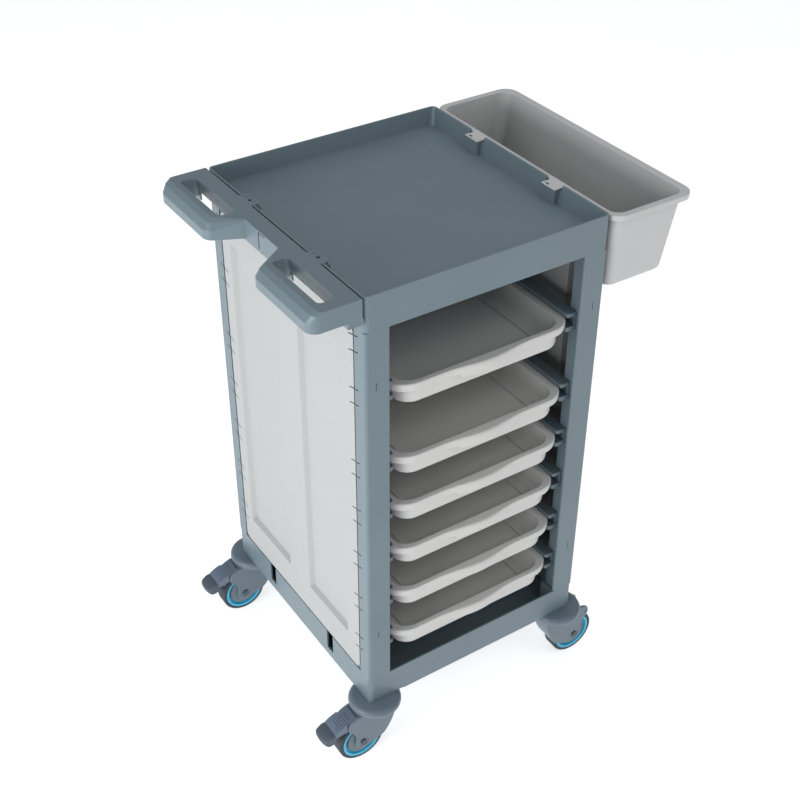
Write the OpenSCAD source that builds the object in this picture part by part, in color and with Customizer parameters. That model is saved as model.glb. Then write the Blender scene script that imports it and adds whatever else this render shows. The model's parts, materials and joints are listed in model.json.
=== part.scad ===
// Rolling utility cart: moulded base tub, four corner posts, three panels, six pull-out trays on
// runners, a recessed top tray, a clip-on push handle, a hang-on side bin and four swivel casters.
// Millimetres, +Z up, open front faces -Y, push handle on -X, side bin on +X, floor at z = 0.

/* [Body] */
// Width of the body across the two side panels
body_w = 493; // [440:1:560]
// Depth of the body from the open front to the back
body_d = 530; // [480:1:600]
// Height of the body from the underside of the base to the top rim
body_h = 922; // [880:1:1000]
// Height of the base tub
base_h = 64; // [50:1:80]
// Height of the top tray band
tray_h = 67; // [50:1:80]
// Wall thickness of the moulded base and top
wall = 3.5; // [2.5:0.5:5]
// Vertical corner radius of the body
corner_r = 10; // [8:1:16]

/* [Trays on runners] */
// Half width of the drawer rim
drawer_half_w = 192; // [186:1:193]
// Half width of the drawer body under the rim
drawer_body_half_w = 172; // [160:1:174]
// Overall drawer height
drawer_h = 48; // [40:1:70]
// Depth of the drawer rim from its front edge to its back edge
drawer_d = 504; // [460:1:510]
// Drawer wall thickness
drawer_wall = 3; // [2:0.5:4]

/* [Top tray and handle] */
// Depth of the recess in the top tray
recess_depth = 34; // [20:1:36]
// Distance from the body centre plane to the outer face of the push handle
handle_out = 343; // [320:1:345]
// Length of each finger slot in the handle
finger_len = 149; // [100:1:150]

/* [Side bin] */
// Distance from the body centre plane to the outer rim of the bin
bin_out = 433; // [380:1:460]
// Length of the bin rim along the cart
bin_len = 544; // [440:1:560]
// Depth of the bin below its rim
bin_depth = 151; // [100:1:200]

/* [Casters] */
// Clear height from the floor to the underside of the base
base_clear = 142.5; // [132:0.5:150]
// Tyre radius
wheel_r = 50; // [44:1:50]
// Distance of each swivel axis from the body centre plane, across the cart
swivel_x = 225; // [215:1:226]
// Distance of each swivel axis from the body centre plane, along the cart
swivel_y = 247; // [235:1:249]
// Horizontal trail from the swivel axis to the wheel axle
trail = 40; // [36:1:42]
// Radius of the wheel axle
axle_r = 4; // [3:0.5:5]
// Radius of the swivel pin
pin_r = 5.5; // [4:0.5:6]
// Radius of the round caster cover
cover_r = 52; // [48:1:54]

/* [Hidden] */

$fn = 64;
e = 0.01;
hw = body_w / 2;
hd = body_d / 2;
pedal_reach = 127;
cx = -(bin_out - swivel_x - pedal_reach) / 2;
post_top = body_h - tray_h;
post_h = post_top - base_h;

// corner posts
tube_w = 42.5;
tube_d = 33;
lip_w = 48;
lip_t = 5;
post_wall = 3;
spigot_w = 36;
spigot_d = 20;
spigot_h = 25;
fit = 0.3;
tube_in = hw - tube_w;
panel_half_d = hd - tube_d - 1;

// levels of the runners, from the top bay down, measured from the underside of the base
LEVELS = [716, 563.5, 457, 353, 247, 142];
spare_level = 821;
slit_rise = 15.5;
slit_h = 2;
slit_d = 3.6;
slit_y = 214;
slit_len = 30;
slit_tilt = 15;

// runners
runner_in = 182;
runner_web = 4;
runner_half_h = 19;
runner_front = 15;
runner_len = 501.5;
rim_half_h = 9;

// drawers
drawer_front = hd + 1;
rim_r = 50;
rim_t = 3;
body_r = 35;
body_front = 8;
nose_half = 58;
nose_sag = 10;
nose_drop = 28;

// bin
bin_cy = -4;
bin_gap = 1.5;
bin_top = body_h - 5;
tab_y = 116;
tab_w = 44;
notch_w = 46;
notch_h = 9;
hook_w = 24;
hook_t = 3.5;
hook_x = hw - 15;
hook_low = body_h - 25;
boss_w = 38;
boss_in = 18;
slot_wall = 24;

// casters, z from the underside of the base
axle_z = wheel_r - base_clear;
cover_h = 16;
cover_edge = 8;
shell = 3;
plate_t = 3;
race_t = 1.7;
hub_top = -(2 * shell + race_t + fit);
fork_top = -18;
fork_half = 23;
cavity_half = 17.5;
cavity_r = wheel_r + 3.5;
pin_low = -50;
pin_high = 20;
run_fit = 0.05;
hub_r = 37.5;
band_r = 42.5;
hub_half = 13;
tyre_half = 16;
pivot_x = -67;
pivot_z = -40;
pivot_r = 2.5;

body_col = [0.46, 0.52, 0.55];
panel_col = [0.83, 0.84, 0.835];
drawer_col = [0.78, 0.78, 0.77];
bin_col = [0.74, 0.74, 0.74];
caster_col = [0.41, 0.45, 0.48];
tyre_col = [0.24, 0.24, 0.26];
band_col = [0.31, 0.75, 0.88];
steel_col = [0.72, 0.73, 0.74];
race_col = [0.6, 0.61, 0.62];

// moves a body-centred, base-height shape into the frame of the whole cart
module placed() {
  translate([cx, 0, base_clear]) children();
}

module rrect(w, d, r) {
  square([w - 2 * r, d], center = true);
  square([w, d - 2 * r], center = true);
  for (x = [-1, 1], y = [-1, 1])
    translate([x * (w / 2 - r), y * (d / 2 - r)]) circle(r);
}

// box given by its low and high corners
module span(lo, hi) {
  translate(lo) cube(hi - lo);
}

module mirror_y() {
  children();
  mirror([0, 1, 0]) children();
}

// ---------- base ----------
base_floor = 6;
block_w = 50;
block_d = 38;
slot_w = 22;
slot_z = 18;
screw_r = 2;
SCREW_AT = [[-28, 0], [0, -28], [-20, -20]];

module base_tub() {
  color(body_col) placed() difference() {
    union() {
      difference() {
        linear_extrude(base_h) rrect(body_w, body_d, corner_r);
        translate([0, 0, base_floor])
          linear_extrude(base_h) rrect(body_w - 2 * wall, body_d - 2 * wall, corner_r - wall);
      }
      intersection() {
        linear_extrude(base_h) rrect(body_w, body_d, corner_r);
        for (sx = [-1, 1], sy = [-1, 1])
          translate([sx * (hw - block_w / 2), sy * (hd - block_d / 2), base_h / 2])
            cube([block_w, block_d, base_h], center = true);
      }
      for (sx = [-1, 1], sy = [-1, 1], s = SCREW_AT)
        translate([sx * (swivel_x + s[0]), sy * (swivel_y + s[1]), 0]) cylinder(r = 5.5, h = 16);
    }
    for (sx = [-1, 1], sy = [-1, 1]) {
      translate([sx * (hw - tube_w / 2), sy * (hd - tube_d / 2), base_h - spigot_h - fit])
        translate([-spigot_w / 2 - fit, -spigot_d / 2 - fit, 0])
          cube([spigot_w + 2 * fit, spigot_d + 2 * fit, spigot_h + 1]);
      translate([sx * swivel_x, sy * swivel_y, -1]) cylinder(r = pin_r + run_fit, h = pin_high + 1.5);
      for (s = SCREW_AT)
        translate([sx * (swivel_x + s[0]), sy * (swivel_y + s[1]), -1])
          cylinder(r = screw_r + run_fit, h = 13.5);
      span([sx > 0 ? hw - 8 : -hw - 1, sy * tab_y - slot_w / 2, slot_z],
        [sx > 0 ? hw + 1 : -hw + 8, sy * tab_y + slot_w / 2, base_h + 1]);
    }
    span([-187, -hd - 1, -1], [-169, -hd + 1.5, 3]);
  }
}

// ---------- posts ----------
module post_section() {
  difference() {
    union() {
      translate([-tube_w / 2, -tube_d / 2]) {
        translate([6, 0]) square([tube_w - 6, tube_d]);
        translate([0, 6]) square([6, tube_d - 6]);
        translate([6, 6]) circle(6);
        translate([6, 0]) square([lip_w - 6, lip_t]);
      }
    }
    translate([-tube_w / 2 + post_wall, -tube_d / 2 + post_wall])
      square([tube_w - 2 * post_wall, tube_d - 2 * post_wall]);
  }
}

// front-left post: outer corner at -X, -Y
module post_shape(snap) {
  placed() difference() {
    translate([-hw + tube_w / 2, -hd + tube_d / 2, 0]) {
      translate([0, 0, base_h]) linear_extrude(post_h) post_section();
      for (z = [base_h - spigot_h, post_top])
        translate([-spigot_w / 2, -spigot_d / 2, z]) cube([spigot_w, spigot_d, spigot_h]);
      for (z = [base_h, post_top - post_wall])
        translate([-tube_w / 2 + 2, -tube_d / 2 + 2, z]) cube([tube_w - 4, tube_d - 4, post_wall]);
    }
    slits(-1, -1);
    if (snap)
      for (z = [180, 748])
        span([-hw + 20, -hd - 1, z - 7.5], [-hw + 22, -hd + 1.5, z + 7.5]);
  }
}

// narrow hook slits that run across the seam between a post and a side panel
module slits(sx, sy) {
  for (level = concat([spare_level], LEVELS), s = [-1, 1])
    translate([sx * hw, sy * (slit_y + slit_len / 2), level + s * slit_rise])
      rotate([sy * slit_tilt, 0, 0]) cube([2 * slit_d, slit_len, slit_h], center = true);
}

module post_fl() { color(body_col) post_shape(true); }
module post_fr() { color(body_col) flip_x() post_shape(true); }
module post_bl() { color(body_col) mirror([0, 1, 0]) post_shape(false); }
module post_br() { color(body_col) flip_x() mirror([0, 1, 0]) post_shape(false); }

// mirrors a placed shape across the centre plane of the body
module flip_x() {
  translate([2 * cx, 0, 0]) mirror([1, 0, 0]) children();
}

// ---------- panels ----------
panel_t = 3;
field_depth = 8;
field_bevel = 7;
field_z0 = 133;
field_z1 = 797;
flange = 12;

// one recessed field: straight-sided frustum from the opening to the smaller floor
module frustum(y0, y1, depth, grow) {
  hull() {
    span([-depth, y0 + field_bevel - grow, field_z0 + field_bevel - grow],
      [-depth + e, y1 - field_bevel + grow, field_z1 - field_bevel + grow]);
    span([0, y0 - grow, field_z0 - grow], [1, y1 + grow, field_z1 + grow]);
  }
}

// panel skin in the plane x <= 0, outside face at x = 0
module panel_skin(half, fields) {
  difference() {
    union() {
      span([-panel_t, -half, base_h], [0, half, post_top]);
      for (f = fields)
        intersection() {
          frustum(f[0], f[1], field_depth + panel_t, panel_t);
          span([-30, -half, base_h], [0, half, post_top]);
        }
      for (s = [-1, 1])
        span([-flange, s > 0 ? half - panel_t : -half, base_h],
          [0, s > 0 ? half : -half + panel_t, post_top]);
      for (z = [base_h, post_top - panel_t])
        span([-flange, -half, z], [0, half, z + panel_t]);
    }
    for (f = fields) frustum(f[0], f[1], field_depth, 0);
  }
}

module panel_left() {
  color(panel_col) placed() difference() {
    translate([-hw + 0.5, 0, 0]) mirror([1, 0, 0])
      panel_skin(panel_half_d, [[-187, -43], [34, 198]]);
    for (sy = [-1, 1]) slits(-1, sy);
  }
}

module panel_right() {
  color(panel_col) placed() difference() {
    translate([hw - 0.5, 0, 0])
      panel_skin(panel_half_d, [[-187, -43], [34, 198]]);
    for (sy = [-1, 1]) slits(1, sy);
  }
}

module panel_rear() {
  color(panel_col) placed()
    translate([0, hd - 0.5, 0]) rotate([0, 0, 90])
      panel_skin(hw - lip_w - 1, [[-150, -24], [24, 150]]);
}

// ---------- top tray ----------
recess_floor = body_h - recess_depth;
draft = 7;

// the same shape on both sides at the four hook places
module at_hooks() {
  for (sx = [0, 1], sy = [-1, 1])
    mirror([sx, 0, 0]) translate([0, sy * tab_y, 0]) children();
}

module top_tray() {
  color(body_col) placed() difference() {
    translate([0, 0, post_top]) linear_extrude(tray_h) rrect(body_w, body_d, corner_r);
    difference() {
      hull() {
        translate([0, 0, recess_floor]) linear_extrude(e)
          rrect(body_w - 2 * (wall + draft), body_d - 2 * (wall + draft), corner_r);
        translate([0, 0, body_h]) linear_extrude(1)
          rrect(body_w - 2 * wall, body_d - 2 * wall, corner_r - wall);
      }
      // hook bosses inside the side walls
      at_hooks()
        span([hw - boss_in, -boss_w / 2, recess_floor - 1], [hw, boss_w / 2, body_h - notch_h]);
    }
    at_hooks()
      span([hook_x - 1, -hook_w / 2 - 1, hook_low - 1], [hook_x + hook_t + 1, hook_w / 2 + 1, body_h]);
    difference() {
      translate([0, 0, post_top - 1]) linear_extrude(recess_floor - wall - post_top + 1)
        rrect(body_w - 2 * wall, body_d - 2 * wall, corner_r - wall);
      for (sx = [-1, 1], sy = [-1, 1])
        translate([sx * (hw - block_w / 2), sy * (hd - block_d / 2), post_top])
          cube([block_w, block_d, tray_h], center = true);
    }
    for (sx = [-1, 1], sy = [-1, 1]) {
      translate([sx * (hw - tube_w / 2) - spigot_w / 2 - fit,
        sy * (hd - tube_d / 2) - spigot_d / 2 - fit, post_top - 1])
        cube([spigot_w + 2 * fit, spigot_d + 2 * fit, spigot_h + 1 + fit]);
      span([sx > 0 ? hw - 13 : -hw - 1, sy * tab_y - notch_w / 2, body_h - notch_h],
        [sx > 0 ? hw + 1 : -hw + 13, sy * tab_y + notch_w / 2, body_h + 1]);
    }
  }
}

// ---------- push handle ----------
strip_in = hw + 1.5;
strip_out = 281;
loop_y0 = 55;
loop_y1 = 85;
grip_low = body_h - 36;
grip_w = 30;
slot_y = 91;
crease_z = body_h - 19;

// one level of a loop at a given inset of its outer edge
module loop_level(z, h, inset, r) {
  x1 = handle_out - inset - r;
  translate([0, 0, z]) linear_extrude(h) {
    translate([x1, hd - r]) circle(r, $fn = 32);
    translate([x1, loop_y1 + inset * 0.4 + r * 0.62]) circle(r, $fn = 32);
    translate([strip_out - 12, loop_y0 - 5]) square([1, hd - loop_y0 + 5]);
  }
}

module handle_loop() {
  hull() {
    loop_level(grip_low, crease_z - grip_low, 0, 20);
    loop_level(body_h - 6, e, 8, 15);
    loop_level(body_h - 0.5, 0.5, 18, 10);
  }
}

// drawn on +X and mirrored to the handle side
module handle_shape() {
  difference() {
    union() {
      mirror_y() handle_loop();
      span([strip_in, -hd, grip_low], [strip_out, hd, body_h]);
      span([strip_in, -hd, grip_low - 11], [strip_out - 5, hd, grip_low + 5]);
      mirror_y() ear();
    }
    mirror_y() {
      // finger slot
      translate([(strip_out + handle_out - grip_w) / 2, slot_y + finger_len / 2, grip_low - 20])
        linear_extrude(70) rrect(handle_out - grip_w - strip_out, finger_len, 8);
      span([strip_out - 9, slot_y, grip_low - 20],
        [strip_out + 1, slot_y + finger_len, body_h - slot_wall]);
      // hollow undersides
      span([strip_in + 3, 3, grip_low - 20], [strip_out - 8, hd - 3, body_h - 3.5]);
      span([handle_out - 24, 100, grip_low - 20], [handle_out - 5, 232, crease_z + 2]);
    }
    // thin seam line between the two loops
    span([strip_out - 1.5, -12, body_h - 4.4], [strip_out + 1, 10, body_h - 2.6]);
    span([strip_out - 1.5, 9, grip_low + 4], [strip_out + 1, 10.8, body_h - 2.6]);
  }
}

// hooked ear that drops through a notch of the tray rim
module ear() {
  translate([0, tab_y, 0]) difference() {
    union() {
      translate([0, 0, body_h - 8.6]) linear_extrude(8.1) {
        translate([hw - 7.5, -tab_w / 2]) square([14, tab_w]);
        translate([hw - 15.5, -tab_w / 2 + 8]) square([8, tab_w - 16]);
        for (s = [-1, 1]) translate([hw - 7.5, s * (tab_w / 2 - 8)]) circle(8);
      }
      span([hook_x, -hook_w / 2, hook_low], [hook_x + hook_t, hook_w / 2, body_h - 1]);
    }
    span([hw - 9.5, -3, body_h - 12], [hw - 1.5, 3, body_h + 1]);
  }
}

module handle_unit() {
  color(body_col) placed() mirror([1, 0, 0]) handle_shape();
}

// ---------- bin ----------
bin_x0 = hw + bin_gap;
bin_cx = (bin_x0 + bin_out) / 2;
bin_w = bin_out - bin_x0;
bin_rim = 10;
bin_bottom = bin_top - bin_depth;
lug_t = 3.6;

// outer plan of the bin body at the rim (inset 0) or the wall thickness further in
module bin_tub(inset) {
  hull() {
    translate([0, 0, bin_top - 2]) linear_extrude(inset > 0 ? 4 : e)
      translate([(bin_x0 + 6 + bin_out - 13) / 2, bin_cy])
        rrect(bin_out - bin_x0 - 19 - 2 * inset, bin_len - 20 - 2 * inset, 22 - inset, $fn = 32);
    translate([0, 0, bin_bottom + 12 + inset]) linear_extrude(e)
      translate([(bin_x0 + 9 + bin_out - 38) / 2, bin_cy])
        rrect(bin_out - bin_x0 - 47 - 2 * inset, bin_len - 30 - 2 * inset, 20 - inset, $fn = 32);
    translate([0, 0, bin_bottom + inset]) linear_extrude(e)
      translate([(bin_x0 + 9 + bin_out - 38) / 2, bin_cy])
        rrect(bin_out - bin_x0 - 67 - 2 * inset, bin_len - 50 - 2 * inset, 14 - inset, $fn = 32);
  }
}

module bin() {
  color(bin_col) placed() {
    difference() {
      union() {
        translate([bin_cx, bin_cy, bin_top - 3]) linear_extrude(3) rrect(bin_w, bin_len, 28);
        bin_tub(0);
      }
      bin_tub(3);
    }
    translate([bin_cx, bin_cy, bin_top - 11]) linear_extrude(9) difference() {
      rrect(bin_w, bin_len, 28);
      rrect(bin_w - 5, bin_len - 5, 25.5);
    }
    for (s = [-1, 1]) translate([0, s * tab_y, 0]) {
      difference() {
        span([hw - boss_in, -boss_w / 2, bin_top - lug_t], [bin_x0 + 8, boss_w / 2, bin_top]);
        span([hook_x, 3, bin_top - lug_t - 1], [hook_x + hook_t, 13, bin_top + 1]);
      }
      span([hook_x, -hook_w / 2, hook_low], [hook_x + hook_t, 0, bin_top - 1]);
    }
  }
}

// ---------- runners ----------
// drawn on +X, opening toward the drawer
module runner_shape(i) {
  z = LEVELS[i];
  y0 = -hd + runner_front;
  y1 = y0 + runner_len;
  placed() {
    span([tube_in - runner_web, y0, z - runner_half_h], [tube_in, y1, z + runner_half_h]);
    span([runner_in, y0, z - runner_half_h], [tube_in, y1, z - rim_half_h - 0.4]);
    span([runner_in, y0, z + rim_half_h + 2], [tube_in, y1, z + runner_half_h]);
  }
}

module runner_r(i) { color(body_col) runner_shape(i); }
module runner_l(i) { color(body_col) flip_x() runner_shape(i); }

// ---------- drawers ----------
nose_r = (nose_half * nose_half + nose_sag * nose_sag) / (2 * nose_sag);

module nose_plan(inset) {
  intersection() {
    translate([0, nose_r - nose_sag]) circle(nose_r - inset, $fn = 128);
    translate([-nose_half + inset, -nose_sag - 1])
      square([2 * (nose_half - inset), nose_sag + 1 + body_front]);
  }
}

module drawer(i) {
  top = LEVELS[i] + rim_half_h;
  low = top - drawer_h;
  y0 = -drawer_front;
  body_d2 = drawer_d - 2 * body_front;
  color(drawer_col) placed() translate([0, y0 + drawer_d / 2, 0]) difference() {
    union() {
      translate([0, 0, top - rim_t]) linear_extrude(rim_t)
        rrect(2 * drawer_half_w, drawer_d, rim_r);
      translate([0, 0, top - 2 * rim_half_h]) linear_extrude(2 * rim_half_h) difference() {
        rrect(2 * drawer_half_w, drawer_d, rim_r);
        rrect(2 * (drawer_half_w - rim_t), drawer_d - 2 * rim_t, rim_r - rim_t);
      }
      translate([0, 0, low]) linear_extrude(drawer_h)
        rrect(2 * drawer_body_half_w, body_d2, body_r);
      translate([0, -drawer_d / 2, top - nose_drop]) linear_extrude(nose_drop) nose_plan(0);
    }
    translate([0, 0, low + drawer_wall]) linear_extrude(drawer_h)
      rrect(2 * (drawer_body_half_w - drawer_wall), body_d2 - 2 * drawer_wall, body_r - drawer_wall);
    translate([0, -drawer_d / 2, top - nose_drop - 1])
      linear_extrude(nose_drop + 1 - rim_t) nose_plan(rim_t);
  }
}

// ---------- casters ----------
// where each caster stands: side in x, side in y; right-hand casters trail the other way
module at_caster(sx, sy) {
  placed() translate([sx * swivel_x, sy * swivel_y, 0]) rotate([0, 0, sx > 0 ? 180 : 0]) children();
}

module cover_shape(sx, sy) {
  color(caster_col) placed() translate([sx * swivel_x, sy * swivel_y, 0]) difference() {
    union() {
      translate([0, 0, -cover_h + cover_edge]) cylinder(r = cover_r, h = cover_h - cover_edge);
      translate([0, 0, -cover_h + cover_edge]) rotate_extrude() {
        translate([cover_r - cover_edge, 0]) intersection() {
          circle(cover_edge);
          translate([0, -cover_edge]) square([cover_edge, cover_edge]);
        }
        translate([cover_r - cover_edge - 4, -cover_edge]) square([4, cover_edge]);
      }
    }
    translate([0, 0, -cover_h - 1]) cylinder(r = cover_r - cover_edge, h = cover_h + 1 - shell);
    translate([0, 0, -cover_h + cover_edge]) cylinder(r = cover_r - shell, h = cover_h - cover_edge - shell);
    translate([0, 0, -cover_h]) cylinder(r = pin_r + fit, h = cover_h + 1);
    for (s = SCREW_AT)
      translate([sx * s[0], sy * s[1], -cover_h]) cylinder(r = screw_r + fit, h = cover_h + 1);
  }
}

FORK_SIDE = [[-44, -18], [-56, -21], [-66, -25], [-73, -31], [-74, -42], [-72, -50], [-62, -58],
  [-56, -67], [-54, -80], [-57, -93], [-30, -107], [-8, -103], [8, -98], [18, -84], [28, -66],
  [35, -46], [39, -18]];
lobe_r = 18;

// side view of the fork, in x and z
module fork_side() {
  polygon(FORK_SIDE);
  translate([-trail, axle_z]) circle(lobe_r);
  translate([pivot_x, pivot_z]) circle(7);
}

// extrudes a side view symmetrically about the y = 0 plane
module across(half) {
  rotate([90, 0, 0]) linear_extrude(2 * half, center = true) children();
}

module fork(sx, sy) {
  color(caster_col) at_caster(sx, sy) difference() {
    union() {
      across(fork_half) fork_side();
      translate([0, 0, fork_top - 1]) cylinder(r = 15, h = hub_top - fork_top + 1);
    }
    across(cavity_half) translate([-trail, axle_z]) circle(cavity_r, $fn = 96);
    span([-90, -cavity_half - 1, -60], [-49.5, cavity_half + 1, fork_top + 1]);
    translate([0, 0, pin_low - 0.5]) cylinder(r = pin_r + run_fit, h = -pin_low);
    across(fork_half + 1) translate([-trail, axle_z]) circle(axle_r + run_fit);
    if (sx < 0) across(fork_half + 1) translate([pivot_x, pivot_z]) circle(pivot_r + run_fit);
  }
}

module axle(sx, sy) {
  color(steel_col) at_caster(sx, sy) translate([-trail, 0, axle_z]) rotate([90, 0, 0]) {
    cylinder(r = axle_r, h = 2 * fork_half + 2, center = true);
    for (s = [-1, 1])
      translate([0, 0, s * (fork_half + 1.2)]) cylinder(r = 6.5, h = 2, center = true);
  }
}

module wheel_frame(sx, sy) {
  at_caster(sx, sy) translate([-trail, 0, axle_z]) rotate([90, 0, 0]) children();
}

module hub(sx, sy) {
  color(caster_col) wheel_frame(sx, sy) difference() {
    union() {
      cylinder(r = hub_r, h = 2 * hub_half, center = true);
      cylinder(r = 9, h = 2 * (cavity_half - fit), center = true);
    }
    for (s = [-1, 1])
      translate([0, 0, s * (hub_half + 1)]) difference() {
        cylinder(r = hub_r - 5, h = 7, center = true);
        cylinder(r = 14, h = 8, center = true);
      }
    cylinder(r = axle_r + run_fit, h = 60, center = true);
  }
}

module rim(sx, sy) {
  color(band_col) wheel_frame(sx, sy) difference() {
    cylinder(r = band_r, h = 2 * tyre_half + 1, center = true);
    cylinder(r = hub_r, h = 60, center = true);
  }
}

tyre_shoulder = 5;

module tyre(sx, sy) {
  color(tyre_col) wheel_frame(sx, sy) difference() {
    rotate_extrude() {
      translate([band_r - 6, -tyre_half]) square([wheel_r - band_r - tyre_shoulder + 6, 2 * tyre_half]);
      translate([band_r - 6, -tyre_half + tyre_shoulder])
        square([wheel_r - band_r + 6, 2 * (tyre_half - tyre_shoulder)]);
      for (s = [-1, 1])
        translate([wheel_r - tyre_shoulder, s * (tyre_half - tyre_shoulder)]) circle(tyre_shoulder);
    }
    cylinder(r = band_r, h = 60, center = true);
  }
}

PEDAL_ARM = [[-54, -21], [-66, -22.8], [-80, -26], [-92, -30.5], [-101, -36], [-104, -39.5], [-104, -48],
  [-98, -46], [-80, -44], [-60, -46], [-54, -42]];
PEDAL_SHOE = [[-97, -43], [-95, -56], [-91, -55], [-86, -57], [-81, -57], [-76, -43]];
PEDAL_TIP = [[-103, -38], [-108, -38.4], [-119, -42], [-127, -48.5], [-127, -56], [-122, -60],
  [-107, -60], [-103, -56]];

module pedal(sx, sy) {
  color(caster_col) at_caster(sx, sy) {
    difference() {
      across(21) polygon(PEDAL_ARM);
      for (s = [-1, 1])
        translate([-75.5, s > 0 ? 18.2 : -23.2, -70]) cube([30, 5, 60]);
    }
    across(13) polygon(PEDAL_SHOE);
    across(22) polygon(PEDAL_TIP);
    translate([pivot_x, 0, pivot_z]) rotate([90, 0, 0])
      cylinder(r = pivot_r, h = 2 * fork_half - 0.4, center = true);
    // raised plate with cross ribs along the sloping arm
    translate([-66, 0, -22.8]) rotate([0, -16.5, 0]) translate([-28, 0, 0]) {
      translate([0, -12, 0]) cube([28, 24, 2.2]);
      for (i = [0 : 4])
        translate([2.5 + i * 5.2, -9, 2]) cube([2.2, 18, 0.9]);
    }
  }
}

// ---------- hidden caster hardware ----------
module every_caster() {
  for (sx = [-1, 1], sy = [-1, 1])
    placed() translate([sx * swivel_x, sy * swivel_y, 0])
      mirror([sx < 0 ? 1 : 0, 0, 0]) mirror([0, sy < 0 ? 1 : 0, 0]) children();
}

module caster_stems() {
  color(steel_col) every_caster() {
    translate([0, 0, pin_low]) cylinder(r = pin_r, h = pin_high - pin_low);
    difference() {
      translate([0, 0, -shell - plate_t]) cylinder(r = 36, h = plate_t);
      for (s = SCREW_AT)
        translate([s[0], s[1], -20]) cylinder(r = screw_r + fit, h = 40);
    }
  }
}

module swivel_races() {
  color(race_col) every_caster() translate([0, 0, -shell - plate_t - race_t]) difference() {
    cylinder(r = 14, h = race_t);
    translate([0, 0, -1]) cylinder(r = 9, h = race_t + 2);
  }
}

module caster_screws() {
  color(steel_col) every_caster() for (s = SCREW_AT)
    translate([s[0], s[1], -shell - plate_t]) {
      translate([0, 0, -2.4]) cylinder(r = 4, h = 2.4);
      translate([0, 0, -e]) cylinder(r = screw_r, h = 18);
    }
}

base_tub();
post_fl();
post_fr();
post_bl();
post_br();
panel_left();
panel_right();
panel_rear();
top_tray();
handle_unit();
bin();
runner_l(0);  // runner_1l
runner_r(0);  // runner_1r
runner_l(1);  // runner_2l
runner_r(1);  // runner_2r
runner_l(2);  // runner_3l
runner_r(2);  // runner_3r
runner_l(3);  // runner_4l
runner_r(3);  // runner_4r
runner_l(4);  // runner_5l
runner_r(4);  // runner_5r
runner_l(5);  // runner_6l
runner_r(5);  // runner_6r
drawer(0);  // drawer_1
drawer(1);  // drawer_2
drawer(2);  // drawer_3
drawer(3);  // drawer_4
drawer(4);  // drawer_5
drawer(5);  // drawer_6
cover_shape(-1, -1);  // cover_fl
cover_shape(1, -1);  // cover_fr
cover_shape(-1, 1);  // cover_bl
cover_shape(1, 1);  // cover_br
fork(-1, -1);  // fork_fl
fork(1, -1);  // fork_fr
fork(-1, 1);  // fork_bl
fork(1, 1);  // fork_br
axle(-1, -1);  // axle_fl
axle(1, -1);  // axle_fr
axle(-1, 1);  // axle_bl
axle(1, 1);  // axle_br
hub(-1, -1);  // hub_fl
hub(1, -1);  // hub_fr
hub(-1, 1);  // hub_bl
hub(1, 1);  // hub_br
rim(-1, -1);  // rim_fl
rim(1, -1);  // rim_fr
rim(-1, 1);  // rim_bl
rim(1, 1);  // rim_br
tyre(-1, -1);  // tyre_fl
tyre(1, -1);  // tyre_fr
tyre(-1, 1);  // tyre_bl
tyre(1, 1);  // tyre_br
pedal(-1, -1);  // pedal_fl
pedal(-1, 1);  // pedal_bl
caster_stems();
swivel_races();
caster_screws();
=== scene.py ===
"""Rolling utility cart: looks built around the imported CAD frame. Positions are millimetres measured from
the middle of the body in plan and the underside of the base, turned into the row frame by row()."""
import json
import math
import bpy
import bmesh
from mathutils import Vector, Matrix


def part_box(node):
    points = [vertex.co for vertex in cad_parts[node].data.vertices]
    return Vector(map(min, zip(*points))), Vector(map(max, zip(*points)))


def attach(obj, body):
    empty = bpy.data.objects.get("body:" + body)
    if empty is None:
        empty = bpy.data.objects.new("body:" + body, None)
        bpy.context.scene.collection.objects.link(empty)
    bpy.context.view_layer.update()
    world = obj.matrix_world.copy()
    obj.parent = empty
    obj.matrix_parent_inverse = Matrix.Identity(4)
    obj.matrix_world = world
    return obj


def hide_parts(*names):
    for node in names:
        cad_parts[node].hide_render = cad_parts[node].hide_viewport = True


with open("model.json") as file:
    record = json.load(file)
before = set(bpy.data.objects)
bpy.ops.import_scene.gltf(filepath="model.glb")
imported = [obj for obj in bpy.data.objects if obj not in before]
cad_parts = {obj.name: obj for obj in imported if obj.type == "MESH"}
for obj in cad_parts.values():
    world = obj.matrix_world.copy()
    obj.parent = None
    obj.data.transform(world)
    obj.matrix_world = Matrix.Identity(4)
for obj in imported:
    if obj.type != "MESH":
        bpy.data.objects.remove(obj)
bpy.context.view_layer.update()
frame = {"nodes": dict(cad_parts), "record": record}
NODES = frame["nodes"]
MM = 0.001

_lo, _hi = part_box("top_tray")
CX = (_lo[0] + _hi[0]) / 2
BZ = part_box("base_tub")[0][2]
HW = (_hi[0] - _lo[0]) / 2 / MM
HD = (_hi[1] - _lo[1]) / 2 / MM
TOP = (_hi[2] - BZ) / MM


def row(x, y, z):
    """Body-centred millimetres to the row frame in metres."""
    return Vector((CX + x * MM, y * MM, BZ + z * MM))


def local(p):
    """A row-frame point in body-centred millimetres."""
    return [(p[0] - CX) / MM, p[1] / MM, (p[2] - BZ) / MM]


def local_box(name):
    """A node's box in body-centred millimetres."""
    return [local(corner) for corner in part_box(name)]


# ---------------------------------------------------------------- materials
def new_material(name):
    m = bpy.data.materials.new(name)
    m.use_nodes = True
    t = m.node_tree
    t.nodes.clear()
    out = t.nodes.new("ShaderNodeOutputMaterial")
    bsdf = t.nodes.new("ShaderNodeBsdfPrincipled")
    t.links.new(bsdf.outputs[0], out.inputs[0])
    return m, t, bsdf


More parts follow.
